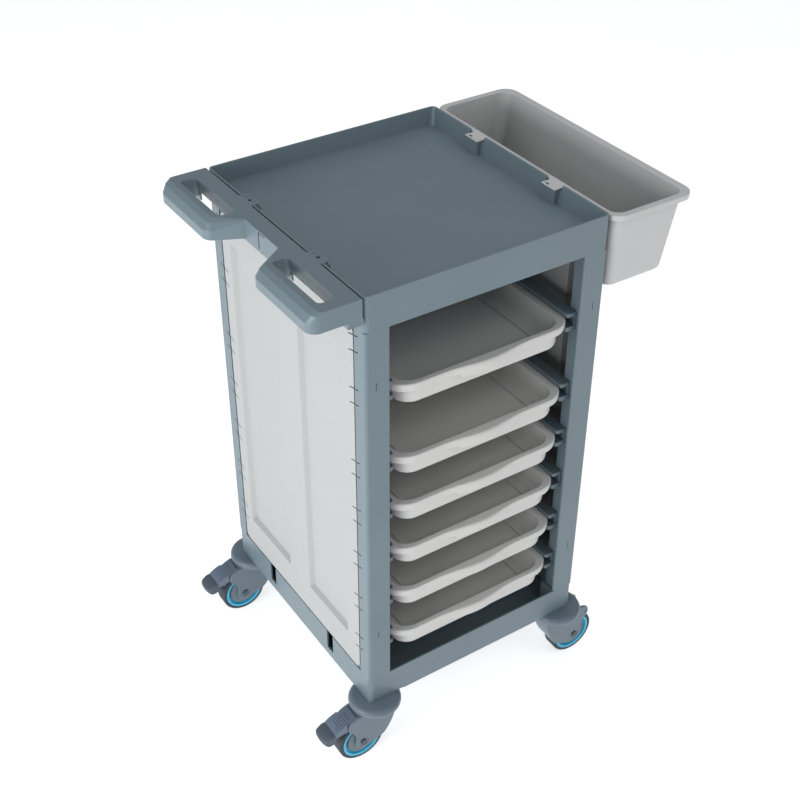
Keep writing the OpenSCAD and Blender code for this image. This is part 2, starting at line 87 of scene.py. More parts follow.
def node(t, kind, links=None, **props):
    """Adds a node; links maps its inputs to sockets, in_N sets input N and other names set properties."""
    n = t.nodes.new(kind)
    for k, v in props.items():
        if k.startswith("in_"):
            n.inputs[int(k[3:])].default_value = v
        else:
            setattr(n, k, v)
    for i, src in (links or {}).items():
        t.links.new(src, n.inputs[i])
    return n


def noise(t, coord, scale, detail=3.0, rough=0.55):
    n = node(t, "ShaderNodeTexNoise", {"Vector": coord})
    n.inputs["Scale"].default_value = scale
    n.inputs["Detail"].default_value = detail
    n.inputs["Roughness"].default_value = rough
    return n


def ramp(t, fac, stops):
    """Colour ramp through (position, colour) stops."""
    r = node(t, "ShaderNodeValToRGB", {0: fac})
    while len(r.color_ramp.elements) < len(stops):
        r.color_ramp.elements.new(0.5)
    for e, (p, c) in zip(r.color_ramp.elements, stops):
        e.position = p
        e.color = (*c, 1.0)
    return r


def mix(t, kind, fac, a, b):
    """Colour mix; each of fac, a and b is a number, a colour or a socket."""
    n = t.nodes.new("ShaderNodeMix")
    n.data_type = "RGBA"
    n.blend_type = kind
    for i, v in ((0, fac), (6, a), (7, b)):
        if isinstance(v, (int, float)):
            n.inputs[i].default_value = v
        elif isinstance(v, (tuple, list)):
            n.inputs[i].default_value = tuple(v) + (1.0,)
        else:
            t.links.new(v, n.inputs[i])
    return n.outputs[2]


def srgb(r, g, b):
    """Linear colour of an 8-bit display colour."""
    def lin(c):
        c /= 255.0
        return c / 12.92 if c <= 0.04045 else ((c + 0.055) / 1.055) ** 2.4
    return (lin(r), lin(g), lin(b))


def scaled(c, k):
    return tuple(min(1.0, v * k) for v in c)


def set_bump(t, bsdf, layers):
    """Stacks bump layers, given as (height node, strength, distance in metres), on the shader's normal."""
    last = None
    for height, strength, distance in layers:
        links = {"Height": height.outputs[0]}
        if last:
            links["Normal"] = last.outputs[0]
        last = node(t, "ShaderNodeBump", links)
        last.inputs["Strength"].default_value = strength
        last.inputs["Distance"].default_value = distance
    t.links.new(last.outputs[0], bsdf.inputs["Normal"])


def set_roughness(t, bsdf, source, span, low, high):
    """Roughness from low to high as a noise goes over its span."""
    rmap = node(t, "ShaderNodeMapRange", {0: source.outputs[0]}, in_1=span[0], in_2=span[1],
                in_3=low, in_4=high)
    t.links.new(rmap.outputs[0], bsdf.inputs["Roughness"])


GRAIN_SCALE = 900.0
GRAIN_DEPTH = 0.05 * MM
EDGE_RADIUS = 1.6 * MM
CORNER_REACH = 15 * MM
HOLLOW_REACH = 160 * MM
CORNER_SHADE = 0.12


def plastic(name, base, rough=0.5, vary=0.05, wear_and_highlight=0.35, depth=0.0):
    """Moulded plastic: fine spark-eroded grain, slow tone drift, lighter edges painted as highlight and wear,
    painted shade in the corners and, by depth, in hollows.
    """
    m, t, bsdf = new_material(name)
    coord = node(t, "ShaderNodeTexCoord").outputs["Object"]
    slow = noise(t, coord, 7.0, 3.0)
    tone = ramp(t, slow.outputs[0], [(0.3, scaled(base, 1 - vary)), (0.7, scaled(base, 1 + vary))])
    speck = noise(t, coord, 2600.0, 2.0, 0.6)
    col = mix(t, "MULTIPLY", 1.0, tone.outputs[0],
              ramp(t, speck.outputs[0], [(0.32, (0.93, 0.93, 0.93)), (0.62, (1.03, 1.03, 1.03))]).outputs[0])
    # painted highlight and wear on edges: lighter where a small bevel's normal leaves the face's own
    bevel = node(t, "ShaderNodeBevel", samples=4, in_0=EDGE_RADIUS)
    geo = node(t, "ShaderNodeNewGeometry")
    dot = node(t, "ShaderNodeVectorMath", {0: bevel.outputs[0], 1: geo.outputs["Normal"]},
               operation="DOT_PRODUCT")
    edge = node(t, "ShaderNodeMapRange", {0: dot.outputs["Value"]}, in_1=0.995, in_2=0.86, in_3=0.0, in_4=1.0)
    scuff = noise(t, coord, 60.0, 4.0, 0.7)
    edge_mask_lit_and_rubbed = node(t, "ShaderNodeMath", {0: edge.outputs[0], 1: scuff.outputs[0]}, operation="MULTIPLY")
    edge_highlight_and_wear = node(t, "ShaderNodeMath", {0: edge_mask_lit_and_rubbed.outputs[0]}, operation="MULTIPLY", in_1=wear_and_highlight)
    light = tuple(min(1.0, c * 1.25 + 0.06) for c in base)
    col = mix(t, "MIX", edge_highlight_and_wear.outputs[0], col, light)
    # painted shade: darker in corners, creases and seams, where the short-range occlusion is high
    ao = node(t, "ShaderNodeAmbientOcclusion", samples=4)
    ao.inputs["Distance"].default_value = CORNER_REACH
    corner_shade = node(t, "ShaderNodeMapRange", {0: ao.outputs["AO"]}, in_1=0.15, in_2=0.75,
                in_3=CORNER_SHADE, in_4=0.0)
    col = mix(t, "MIX", corner_shade.outputs[0], col, scaled(base, 0.45))
    if depth:
        # painted shade: hollows are darkened, as the inside of a deep tray is by lost light
        wide = node(t, "ShaderNodeAmbientOcclusion", samples=6)
        wide.inputs["Distance"].default_value = HOLLOW_REACH
        open_sky = node(t, "ShaderNodeMapRange", {0: wide.outputs["AO"]}, in_1=0.2, in_2=0.68,
                        in_3=1 - depth, in_4=1.0)
        shade = node(t, "ShaderNodeCombineColor", {channel: open_sky.outputs[0] for channel in range(3)})
        col = mix(t, "MULTIPLY", 1.0, col, shade.outputs[0])
    t.links.new(col, bsdf.inputs["Base Color"])
    set_roughness(t, bsdf, noise(t, coord, 45.0, 5.0, 0.65), (0.25, 0.75), rough - 0.06, rough + 0.07)
    bsdf.inputs["Specular IOR Level"].default_value = 0.45
    fine = noise(t, coord, GRAIN_SCALE, 3.0, 0.6)
    wavy = noise(t, coord, 22.0, 2.0, 0.4)
    set_bump(t, bsdf, [(fine, 0.5, GRAIN_DEPTH), (wavy, 0.4, 0.25 * MM)])
    return m


def rubber(name, base):
    """Matt tyre rubber with scuffed patches."""
    m, t, bsdf = new_material(name)
    coord = node(t, "ShaderNodeTexCoord").outputs["Object"]
    patch = noise(t, coord, 55.0, 5.0, 0.7)
    col = ramp(t, patch.outputs[0], [(0.3, scaled(base, 0.85)), (0.55, base), (0.78, scaled(base, 1.45))])
    t.links.new(col.outputs[0], bsdf.inputs["Base Color"])
    set_roughness(t, bsdf, patch, (0.3, 0.7), 0.62, 0.8)
    bsdf.inputs["Specular IOR Level"].default_value = 0.3
    set_bump(t, bsdf, [(noise(t, coord, 1400.0, 3.0, 0.6), 0.6, 0.08 * MM)])
    return m


def steel(name, base, rough):
    """Zinc-plated steel with fine drawn lines."""
    m, t, bsdf = new_material(name)
    coord = node(t, "ShaderNodeTexCoord").outputs["Object"]
    stretch = node(t, "ShaderNodeMapping", {0: coord})
    stretch.inputs["Scale"].default_value = (1.0, 1.0, 14.0)
    lines = noise(t, stretch.outputs[0], 260.0, 4.0, 0.6)
    col = ramp(t, lines.outputs[0], [(0.3, scaled(base, 0.86)), (0.7, scaled(base, 1.06))])
    t.links.new(col.outputs[0], bsdf.inputs["Base Color"])
    bsdf.inputs["Metallic"].default_value = 1.0
    set_roughness(t, bsdf, lines, (0.3, 0.7), rough - 0.06, rough + 0.1)
    set_bump(t, bsdf, [(lines, 0.3, 0.04 * MM)])
    return m


SLATE = srgb(109, 126, 135)
MATS = {
    # depth sets how much painted shade the hollows get: the cabinet's inner faces, the bin, the runners
    "body": plastic("slate_plastic", SLATE, rough=0.35, vary=0.035, wear_and_highlight=1.0, depth=0.2),
    # the slate darkened to 0.85 for the runners inside the cabinet: painted shade
    "runner": plastic("slate_plastic_shaded_inside", scaled(SLATE, 0.85), rough=0.45, vary=0.03, wear_and_highlight=0.4, depth=0.35),
    "panel": plastic("light_grey_panel", srgb(178, 180, 180), rough=0.55, vary=0.015, wear_and_highlight=0.1, depth=0.85),
    "drawer": plastic("tray_grey", srgb(206, 206, 204), rough=0.42, vary=0.015, wear_and_highlight=0.15),
    "bin": plastic("bin_grey", srgb(198, 198, 198), rough=0.42, vary=0.015, wear_and_highlight=0.15, depth=0.5),
    "caster": plastic("caster_nylon", srgb(104, 119, 131), rough=0.36, vary=0.05, wear_and_highlight=0.6),
    "hub": plastic("hub_nylon", srgb(100, 112, 120), rough=0.42, vary=0.05, wear_and_highlight=0.5),
    "pedal": plastic("pedal_nylon", srgb(100, 114, 132), rough=0.34, vary=0.05, wear_and_highlight=0.7),
    "pedal_tip": plastic("pedal_tip_nylon", srgb(74, 86, 98), rough=0.5, vary=0.05, wear_and_highlight=0.5),
    "band": plastic("band_plastic", srgb(70, 185, 222), rough=0.35, vary=0.03, wear_and_highlight=0.3),
    "tyre": rubber("tyre_rubber", srgb(66, 73, 81)),
    "steel": steel("zinc_steel", (0.11, 0.125, 0.14), 0.42),
}
SLOT_OF = {s["node"]: s["material_slot"] for s in frame["record"]["subparts"]}
BODY_OF = {n: b for b, ns in frame["record"]["behaviour"]["bodies"].items() for n in ns}
for name, ob in NODES.items():
    ob.data.materials.clear()
    ob.data.materials.append(MATS[SLOT_OF[name]])


# ---------------------------------------------------------------- mesh helpers
def finish_mesh(bm, name, body, slot, stands_for=(), angle=32.0, look=None):
    """Turns a row-frame bmesh into a named piece on a body; look names another finish for its slot."""
    bmesh.ops.recalc_face_normals(bm, faces=bm.faces[:])
    limit = math.radians(angle)
    for f in bm.faces:
        f.smooth = True
    for e in bm.edges:
        if len(e.link_faces) == 2:
            e.smooth = e.calc_face_angle(0.0) < limit
        else:
            e.smooth = False
    me = bpy.data.meshes.new(name)
    bm.to_mesh(me)
    bm.free()
    me.materials.append(MATS[look or slot])
    ob = bpy.data.objects.new(name, me)
    bpy.context.scene.collection.objects.link(ob)
    even = ob.modifiers.new("even_normals", "WEIGHTED_NORMAL")
    even.keep_sharp = True
    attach(ob, body)
    if stands_for:
        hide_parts(*stands_for)
    return ob


def carve(part, cutters):
    """Cuts shapes out of a part drawn in the same units; returns a new one."""
    def as_object(b):
        me = bpy.data.meshes.new("tmp")
        b.to_mesh(me)
        b.free()
        o = bpy.data.objects.new("tmp", me)
        bpy.context.scene.collection.objects.link(o)
        return o
    base = as_object(part)
    others = [as_object(c) for c in cutters]
    for o in others:
        cut = base.modifiers.new("cut", "BOOLEAN")
        cut.operation = "DIFFERENCE"
        cut.solver = "EXACT"
        cut.object = o
    bpy.context.view_layer.update()
    me = bpy.data.meshes.new_from_object(base.evaluated_get(bpy.context.evaluated_depsgraph_get()))
    out = bmesh.new()
    out.from_mesh(me)
    for o in [base] + others:
        data = o.data
        bpy.data.objects.remove(o)
        bpy.data.meshes.remove(data)
    bpy.data.meshes.remove(me)
    return out


def round_edges(bm, edges, radius, steps, clamp=True):
    bmesh.ops.bevel(bm, geom=edges, offset=radius, segments=steps, profile=0.5, affect="EDGES",
                    clamp_overlap=clamp)


def sharp_edges(bm, angle):
    """Edges where two faces meet at more than an angle in degrees."""
    return [e for e in bm.edges if len(e.link_faces) == 2 and e.calc_face_angle(0.0) > math.radians(angle)]


def rounded_copy(cad_name, radius, wide=None, wide_radius=0.0, cutters=(), angle=40.0):
    """A CAD node's exact shape with small radii, and larger ones on edges where wide(a, b) holds."""
    bm = bmesh.new()
    bm.from_mesh(NODES[cad_name].data)
    bmesh.ops.remove_doubles(bm, verts=bm.verts[:], dist=2e-5)
    bmesh.ops.dissolve_limit(bm, angle_limit=math.radians(0.6), verts=bm.verts[:], edges=bm.edges[:])
    if cutters:
        bm = carve(bm, cutters)
    if wide:
        chosen = [e for e in sharp_edges(bm, 20) if wide(*[local(v.co) for v in e.verts])]
        round_edges(bm, chosen, wide_radius * MM, 4)
    round_edges(bm, sharp_edges(bm, angle), radius * MM, 2)
    return finish_mesh(bm, "look_" + cad_name, BODY_OF[cad_name], SLOT_OF[cad_name], (cad_name,))


NEAR = 0.3
LIP_X = HW - 48
CREASE_Z = TOP - 19


def lip_edge(a, b):
    """The long inner edge of a post's lip."""
    return abs(a[2] - b[2]) > 60 and all(
        abs(abs(p[0]) - LIP_X) < NEAR and abs(abs(p[1]) - HD) < NEAR for p in (a, b))


def grip_edge(a, b):
    """The crease round the outside of the handle loops."""
    return all(abs(p[2] - CREASE_Z) < NEAR and p[0] < -HW - 20 for p in (a, b))


# ---------------------------------------------------------------- lofted shells
CORNER_STEPS = 8


def soften(points, radii, steps=4, metric=(0, -1)):
    """Rounds the corners of an open polyline of number lists; metric picks the two that measure lengths."""
    out = []
    for i, (p, r) in enumerate(zip(points, radii)):
        if i in (0, len(points) - 1) or r <= 0:
            out.append(list(p))
            continue
        sides = []
        for q in (points[i - 1], points[i + 1]):
            d = [b - a for a, b in zip(p, q)]
            length = math.hypot(d[metric[0]], d[metric[1]])
            sides.append(([c / length for c in d], length))
        (ua, la), (ub, lb) = sides
        reach = min(r, 0.48 * la, 0.48 * lb)
        for k in range(steps + 1):
            a = math.pi / 2 * k / steps
            out.append([c + reach * ((1 - math.sin(a)) * x + (1 - math.cos(a)) * y)
                        for c, x, y in zip(p, ua, ub)])
    return out


def outline(x0, x1, y0, y1, r, front=()):
    """Rounded rectangle, from the left end of the front side round to the start again."""
    r = max(r, 0.2)
    pts = []
    corners = [(x0 + r, y0 + r, 180, 270), (x1 - r, y0 + r, 270, 360),
               (x1 - r, y1 - r, 0, 90), (x0 + r, y1 - r, 90, 180)]
    for i, (cx, cy, a0, a1) in enumerate(corners):
        for k in range(CORNER_STEPS + 1):
            a = math.radians(a0 + (a1 - a0) * k / CORNER_STEPS)
            pts.append((cx + r * math.cos(a), cy + r * math.sin(a)))
        if i == 0:
            pts.extend((x, y0) for x in front)
    return pts


def bridge(bm, loops, closed=False):
    """Joins vertex loops of equal length by quads; caps the ends, or closes the last loop on the first."""
    n = len(loops[0])
    for a, b in zip(loops, loops[1:] + (loops[:1] if closed else [])):
        for i in range(n):
            bm.faces.new((a[i], a[(i + 1) % n], b[(i + 1) % n], b[i]))
    return [] if closed else [bm.faces.new(loops[0][::-1]), bm.faces.new(loops[-1])]


def loft(bm, rings):
    """A closed shell through rings of equal length, given as lists of (x, y, z) millimetres."""
    bridge(bm, [[bm.verts.new(row(*p)) for p in ring] for ring in rings])


def smoothstep(a, b, x):
    t = max(0.0, min(1.0, (x - a) / (b - a)))
    return t * t * (3 - 2 * t)


def block(lo, hi, r, steps=2):
    """Box with rounded edges, in millimetres."""
    part = bmesh.new()
    bmesh.ops.create_cube(part, size=1.0)
    for v in part.verts:
        v.co = Vector([lo[i] + (v.co[i] + 0.5) * (hi[i] - lo[i]) for i in range(3)])
    round_edges(part, part.edges[:], r, steps)
    return part


def join(bm, part, turn=None):
    """Copies a part drawn in millimetres into bm, in the row frame."""
    part.verts.ensure_lookup_table()
    new = [bm.verts.new(row(*(turn(v.co) if turn else v.co))) for v in part.verts]
    for f in part.faces:
        bm.faces.new([new[v.index] for v in f.verts])
    part.free()


# ---------------------------------------------------------------- body
def in_row(part):
    """The same part placed in the row frame."""
    out = bmesh.new()
    join(out, part)
    return out


def prism(pts, y0, y1, edge=0.0, steps=3):
    """Side view in (x, z) drawn from y0 to y1, its long edges rounded; returned in local millimetres."""
    part = bmesh.new()
    caps = bridge(part, [[part.verts.new((x, y, z)) for x, z in pts] for y in (y0, y1)])
    bmesh.ops.recalc_face_normals(part, faces=part.faces[:])
    if edge > 0:
        round_edges(part, list({e for f in caps for e in f.edges}), edge, steps)
    return part


PANEL_HALF, PANEL_LOW, PANEL_HIGH, PANEL_CORNER = 231, 64, 855, 15.0
PANEL_FACE = HW - 0.5


def reveal(side, start, depth, inner, outer):
    """Frame round a side panel between two depths under its face; inner and outer are insets of its outline."""
    part = bmesh.new()
    loops = []
    for inset, r, deep in ((outer, 0.2, start), (outer, 0.2, depth),
                           (inner, PANEL_CORNER, depth), (inner, PANEL_CORNER, start)):
        pts = outline(-PANEL_HALF + inset, PANEL_HALF - inset, PANEL_LOW + inset, PANEL_HIGH - inset, r)
        loops.append([part.verts.new((side * (PANEL_FACE - deep), y, z)) for y, z in pts])
    bridge(part, loops, closed=True)
    bmesh.ops.recalc_face_normals(part, faces=part.faces[:])
    return part


rounded_copy("base_tub", 0.9)
for cad in ("post_fl", "post_fr", "post_bl", "post_br"):
    rounded_copy(cad, 0.7, lip_edge, 4.0)
rounded_copy("top_tray", 1.0)
HOOK_Y = 116.0   # the hooked ears and the bin's lugs, either side of the middle
EAR_GAP = 23     # half the length left uncut round an ear
gap_cuts = [block((-HW - 3.0, a, TOP - 34), (-HW - 1.0, b, TOP + 2), 0.05, 1)
            for a, b in ((-HD - 2, -HOOK_Y - EAR_GAP), (-HOOK_Y + EAR_GAP, HOOK_Y - EAR_GAP),
                         (HOOK_Y + EAR_GAP, HD + 2))]
ear_cuts = [block((-HW + 2.4, s * HOOK_Y - 16, TOP - 1.9), (-HW + 12.8, s * HOOK_Y + 16, TOP + 3), 0.8)
            for s in (-1, 1)]
seam_cut = block((-284.0, 8.2, TOP - 48), (-274.5, 11.6, TOP - 2.4), 0.05, 1)
rounded_copy("handle_unit", 0.9, grip_edge, 1.4, [in_row(c) for c in [*gap_cuts, *ear_cuts, seam_cut]], 22.0)
rounded_copy("panel_rear", 1.1)
for cad, side in (("panel_left", -1), ("panel_right", 1)):
    rounded_copy(cad, 0.8, cutters=[in_row(reveal(side, -0.6, 2.4, 2.6, -1.0))])
    # a dark slate strip set into the reveal groove: painted shade in the seam between panel and post
    finish_mesh(in_row(reveal(side, 1.6, 2.3, 2.7, 0.1)), "panel_seam_shade_" + cad[6:], "cart", "runner")


# ---------------------------------------------------------------- pull-out trays
NOSE_STEPS = [55.5, 57, 58, 59.5, 61]
NOSE_X = sorted({-92 + 4 * i for i in range(47)} | {s * x for s in (-1, 1) for x in NOSE_STEPS})
NOSE_HALF, NOSE_RISE, NOSE_DROP = 90.0, 5.0, 7.5
TRAY_LENGTH, TRAY_FLOOR = 504.0, 45
GROOVE_X, GROOVE_HALF, GROOVE_DEPTH = 138.0, 2.0, 2.4


def tray_ring(box, x_in, y_in, r, bulge, deep, z):
    """One level of a tray: insets from the rim's edge, its share of the nose's bow and drop, its height."""
    x0, x1, y0, y1 = box
    pts = outline(x0 + x_in, x1 - x_in, y0 + y_in, y1 - y_in, r, NOSE_X)
    out = []
    for i, (x, y) in enumerate(pts):
        rise = drop = 0.0
        if CORNER_STEPS < i <= CORNER_STEPS + len(NOSE_X):
            rise = NOSE_RISE * (1 + math.cos(math.pi * min(1.0, abs(x) / NOSE_HALF)))
            drop = NOSE_DROP * (1 - smoothstep(57.0, 59.0, abs(x)))
        out.append((x, y - rise * bulge, z - drop * deep))
    return out


def make_tray(number):
    cad = "drawer_%d" % number
    lo, hi = local_box(cad)
    box = (lo[0], hi[0], hi[1] - TRAY_LENGTH, hi[1])
    top = hi[2]
    floor_z = BZ + (top - TRAY_FLOOR) * MM
    # x inset, y inset, corner radius, share of nose, share of nose depth, height under the rim
    path = [(40, 28, 14, 0, 0, -48), (21, 9, 34, 0, 0, -48), (20, 8, 35, 0, 0, -19),
            (19.5, 7.6, 35, 0.0, 0, -4), (4, 3.6, 46, 0.95, 0, -4), (3, 2.6, 47, 1, 1, -14.5),
            (0.4, 0.4, 50, 1, 1, -14.5), (0, 0, 50, 1, 0, 0), (22.5, 10.5, 33, 0, 0, 0),
            (24, 12, 31, 0, 0, -TRAY_FLOOR), (44, 32, 12, 0, 0, -TRAY_FLOOR)]
    radii = [0, 9, 0, 1.2, 1.0, 0.8, 0.9, 4.0, 1.8, 9, 0]
    bm = bmesh.new()
    loft(bm, [tray_ring(box, *p[:5], top + p[5]) for p in soften(path, radii)])

    def on_floor(f):
        return all(abs(v.co.z - floor_z) < 1e-7 for v in f.verts)

    for gx in (-GROOVE_X, GROOVE_X):
        for off in (-GROOVE_HALF, GROOVE_HALF):
            faces = [f for f in bm.faces if len(f.verts) > 3 and on_floor(f)]
            geom = set(faces)
            for f in faces:
                geom.update(f.edges)
                geom.update(f.verts)
            bmesh.ops.bisect_plane(bm, geom=list(geom), plane_co=row(gx + off, 0, 0), plane_no=(1, 0, 0),
                                   dist=1e-7)
        strip = [f for f in bm.faces if on_floor(f)
                 and abs(f.calc_center_median().x - (CX + gx * MM)) < 0.9 * GROOVE_HALF * MM]
        lowered = bmesh.ops.extrude_face_region(bm, geom=strip)
        bmesh.ops.delete(bm, geom=strip, context="FACES")
        for v in lowered["geom"]:
            if isinstance(v, bmesh.types.BMVert):
                v.co.z -= GROOVE_DEPTH * MM
    return finish_mesh(bm, "pullout_tray_%d" % number, BODY_OF[cad], "drawer", (cad,))


for i in range(1, 7):
    make_tray(i)


# ---------------------------------------------------------------- hang-on bin
def make_bin():
    lo, hi = local_box("bin")
    x0, x1, y0, y1, low, top = HW + 1.5, hi[0], lo[1], hi[1], lo[2], hi[2]
    # x inset left, x inset right, y inset, corner radius, height
    path = [(30, 60, 40, 12, low), (10, 40, 18, 20, low), (6, 13, 10, 24, top - 4),
            (3.4, 3.4, 3.4, 27, top - 3.4), (3, 3, 3, 27, top - 11), (0.3, 0.3, 0.3, 28, top - 11),
            (0, 0, 0, 28, top), (11.5, 15.5, 13, 22, top), (14.5, 43, 21, 17, low + 3),
            (35, 64, 44, 10, low + 3)]
    radii = [0, 13, 1.5, 1.2, 0.8, 0.9, 1.8, 1.6, 12, 0]
    rings = []
    for a, b, c, r, z in soften(path, radii, metric=(1, 4)):
        rings.append([(x, y, z) for x, y in outline(x0 + a, x1 - b, y0 + c, y1 - c, r)])
    bm = bmesh.new()
    loft(bm, rings)
    for y in (-HOOK_Y, HOOK_Y):
        lug = block((HW - 18, y - 19, top - 3.6), (x0 + 6, y + 19, top - 0.35), 1.0, 3)
        slot = block((HW - 15, y + 3, top - 9), (HW - 11, y + 13, top + 4), 1.4, 3)
        join(bm, carve(lug, [slot]))
        join(bm, block((HW - 15, y - 12, top - 20), (HW - 11.5, y, top - 1.5), 0.8))
    return finish_mesh(bm, "hang_on_bin", "side_bin", "bin", ("bin",))


make_bin()


# ---------------------------------------------------------------- runners
def make_runner(cad):
    lo, hi = local_box(cad)
    side = 1 if hi[0] > 0 else -1
    inner, web, outer = 182.0, 200, 204.0
    mid = (lo[2] + hi[2]) / 2
    pts = [(outer, -19), (outer, 19), (inner, 19), (inner, 11),
           (web, 11), (web, -9.4), (inner, -9.4), (inner, -19)]
    part = prism([(x, mid + z) for x, z in pts], lo[1], hi[1])
    # the inner front corners of both flanges are cut back in plan
    front = [e for e in part.edges
             if all(abs(v.co.y - lo[1]) < 1e-6 and abs(v.co.x - inner) < 1e-6 for v in e.verts)]
    round_edges(part, front, 5.0, 4, clamp=False)
    round_edges(part, sharp_edges(part, 40), 0.9, 2)
    bm = bmesh.new()
    join(bm, part, lambda c: (side * c[0], c[1], c[2]))
    return finish_mesh(bm, "slide_" + cad, "cart", "runner", (cad,))


for i in range(1, 7):
    for s in "lr":
        make_runner("runner_%d%s" % (i, s))


# ---------------------------------------------------------------- casters
def arc(cx, cy, r, a0, a1, n):
    """Points on an arc from one angle to another, in degrees."""
    return [(cx + r * math.cos(math.radians(a0 + (a1 - a0) * k / n)),
             cy + r * math.sin(math.radians(a0 + (a1 - a0) * k / n))) for k in range(n + 1)]


def smooth_loop(pts, radii, steps=5):
    """Closed polygon with rounded corners."""
    n = len(pts)
    out = []
    for i in range(n):
        p, a, b = pts[i], pts[i - 1], pts[(i + 1) % n]
        la, lb = math.dist(p, a), math.dist(p, b)
        reach = min(radii[i], 0.49 * la, 0.49 * lb)
        ua = [(a[k] - p[k]) / la for k in (0, 1)]
        ub = [(b[k] - p[k]) / lb for k in (0, 1)]
        if reach <= 0.01:
            out.append(tuple(p))
            continue
        for s in range(steps + 1):
            t = math.pi / 2 * s / steps
            out.append(tuple(p[k] + reach * ((1 - math.sin(t)) * ua[k] + (1 - math.cos(t)) * ub[k])
                             for k in (0, 1)))
    return out


def spin(profile, n, closed=True):
    """Revolves (radius, y) points about the Y axis; a closed profile makes a ring, an open one a plug."""
    part = bmesh.new()
    rings = []
    for r, y in profile:
        if r < 1e-6:
            rings.append([part.verts.new((0, y, 0))])
        else:
            turns = [2 * math.pi * k / n for k in range(n)]
            rings.append([part.verts.new((r * math.cos(a), y, r * math.sin(a))) for a in turns])
    pairs = list(zip(rings, rings[1:])) + ([(rings[-1], rings[0])] if closed else [])
    for a, b in pairs:
        for k in range(n):
            j = (k + 1) % n
            if len(a) == 1:
                part.faces.new((a[0], b[j], b[k]))
            elif len(b) == 1:
                part.faces.new((a[k], a[j], b[0]))
            else:
                part.faces.new((a[k], a[j], b[j], b[k]))
    bmesh.ops.recalc_face_normals(part, faces=part.faces[:])
    return part


TRAIL, AXLE_Z, FORK_HALF, CAVITY = 40.0, -92.5, 23.0, 17.5
FORK_SIDE = [(-44, -18), (-56, -21), (-66, -24.5), (-73, -31), (-74.5, -40), (-72, -49), (-63, -57), (-57, -66),
             (-55, -80), (-58.5, -92), (-55, -105), (-43, -111.5), (-30, -109), (-8, -103), (8, -98), (18, -84),
             (28, -66), (35, -46), (39, -18)]
FORK_ROUND = [3, 12, 10, 8, 6, 6, 12, 10, 12, 12, 10, 10, 14, 16, 16, 24, 24, 24, 3]
PIVOT_X, PIVOT_Z = -67, -40
TRAILS_TO = {"fl": 1, "fr": -1, "bl": 1, "br": -1}


def swivel_turn(which):
    """Maps a caster's own millimetres, trailing towards -X, to body-centred ones."""
    lo, hi = local_box("cover_" + which)
    ax, ay = (lo[0] + hi[0]) / 2, (lo[1] + hi[1]) / 2
    k = TRAILS_TO[which]
    return lambda c: (ax + k * c[0], ay + k * c[1], c[2])


def wheel_turn(which):
    """The same for parts drawn round the wheel's own axle."""
    t = swivel_turn(which)
    return lambda c: t((c[0] - TRAIL, c[1], c[2] + AXLE_Z))


def fork_shape():
    outer = prism(smooth_loop(FORK_SIDE, FORK_ROUND), -FORK_HALF, FORK_HALF, 3.5, 4)
    cavity = prism(arc(-TRAIL, AXLE_Z, 53.5, 0, 360 - 360 / 96, 95), -CAVITY, CAVITY)
    pedal_slot = prism([(-90, -62), (-49.5, -62), (-49.5, -16), (-90, -16)], -18.5, 18.5)
    recess = [prism(arc(-TRAIL, AXLE_Z, 11.5, 0, 345, 23), s * 23.5 - 1.1, s * 23.5 + 1.1) for s in (-1, 1)]
    bore = prism(arc(-TRAIL, AXLE_Z, 4.05, 0, 345, 23), -30, 30)
    pivot = prism(arc(PIVOT_X, PIVOT_Z, 2.6, 0, 345, 23), -30, 30)
    return carve(outer, [cavity, pedal_slot, bore, pivot] + recess)


def as_piece(part, turn, name, body, slot, stands_for=()):
    bm = bmesh.new()
    join(bm, part, turn)
    return finish_mesh(bm, name, body, slot, stands_for)


# (radius, width) outlines of the revolved parts
TYRE = smooth_loop([(42.5, -16), (50, -16), (50, 16), (42.5, 16)], [0.3, 6, 6, 0.3], 6)
BAND = smooth_loop([(33, -10), (36.4, -10.4), (36.9, -15.2), (39.5, -16.4), (42.5, -15.8), (42.5, 15.8),
                    (39.5, 16.4), (36.9, 15.2), (36.4, 10.4), (33, 10)],
                   [0.2, 0.8, 1, 1.5, 0.5, 0.5, 1.5, 1, 0.8, 0.2], 3)
HUB = smooth_loop([(4.05, -17.2), (9, -17.2), (9, -15.6), (12.5, -15.6), (14, -17), (29, -16.4), (32, -13.5),
                   (32.9, -10), (32.9, 10), (32, 13.5), (29, 16.4), (14, 17), (12.5, 15.6), (9, 15.6),
                   (9, 17.2), (4.05, 17.2)],
                  [0.3, 0.6, 0.8, 0.8, 0.8, 2.5, 2, 0.2, 0.2, 2, 2.5, 0.8, 0.8, 0.8, 0.6, 0.3], 3)
COVER = smooth_loop([(6, 0), (46, 0), (52, -5), (52, -16), (42.5, -16), (43.5, -12.5), (48.8, -10.5),
                     (48.8, -6), (44, -3), (6, -3)], [0.2, 6, 5, 7, 0.8, 2, 3, 3, 2, 0.2], 6)


def tall_spin(profile, n):
    """The same as spin, about the Z axis."""
    part = spin(profile, n)
    for v in part.verts:
        v.co = Vector((v.co.x, -v.co.z, v.co.y))
    return part


PEDAL_TOP = [(-51, -20.6), (-66, -22.6), (-80, -25.8), (-92, -30.3), (-101, -36), (-104, -39.5)]
PEDAL_LOW = [(-104, -49), (-98, -46.5), (-80, -44), (-60, -46), (-51, -42)]
PEDAL_SHOE = [(-97, -40), (-95, -56), (-91, -55), (-86, -57), (-81, -57), (-76, -40)]
PEDAL_TIP = [(-102, -37.5), (-108, -37.6), (-118, -41), (-127, -47.5), (-127, -55.5), (-122, -60.5),
             (-108, -60.5), (-102, -56)]


def top_at(x):
    """Height of the pedal's upper face."""
    for (xa, za), (xb, zb) in zip(PEDAL_TOP, PEDAL_TOP[1:]):
        if xb <= x <= xa:
            return za + (zb - za) * (x - xa) / (xb - xa)
    return PEDAL_TOP[-1][1]


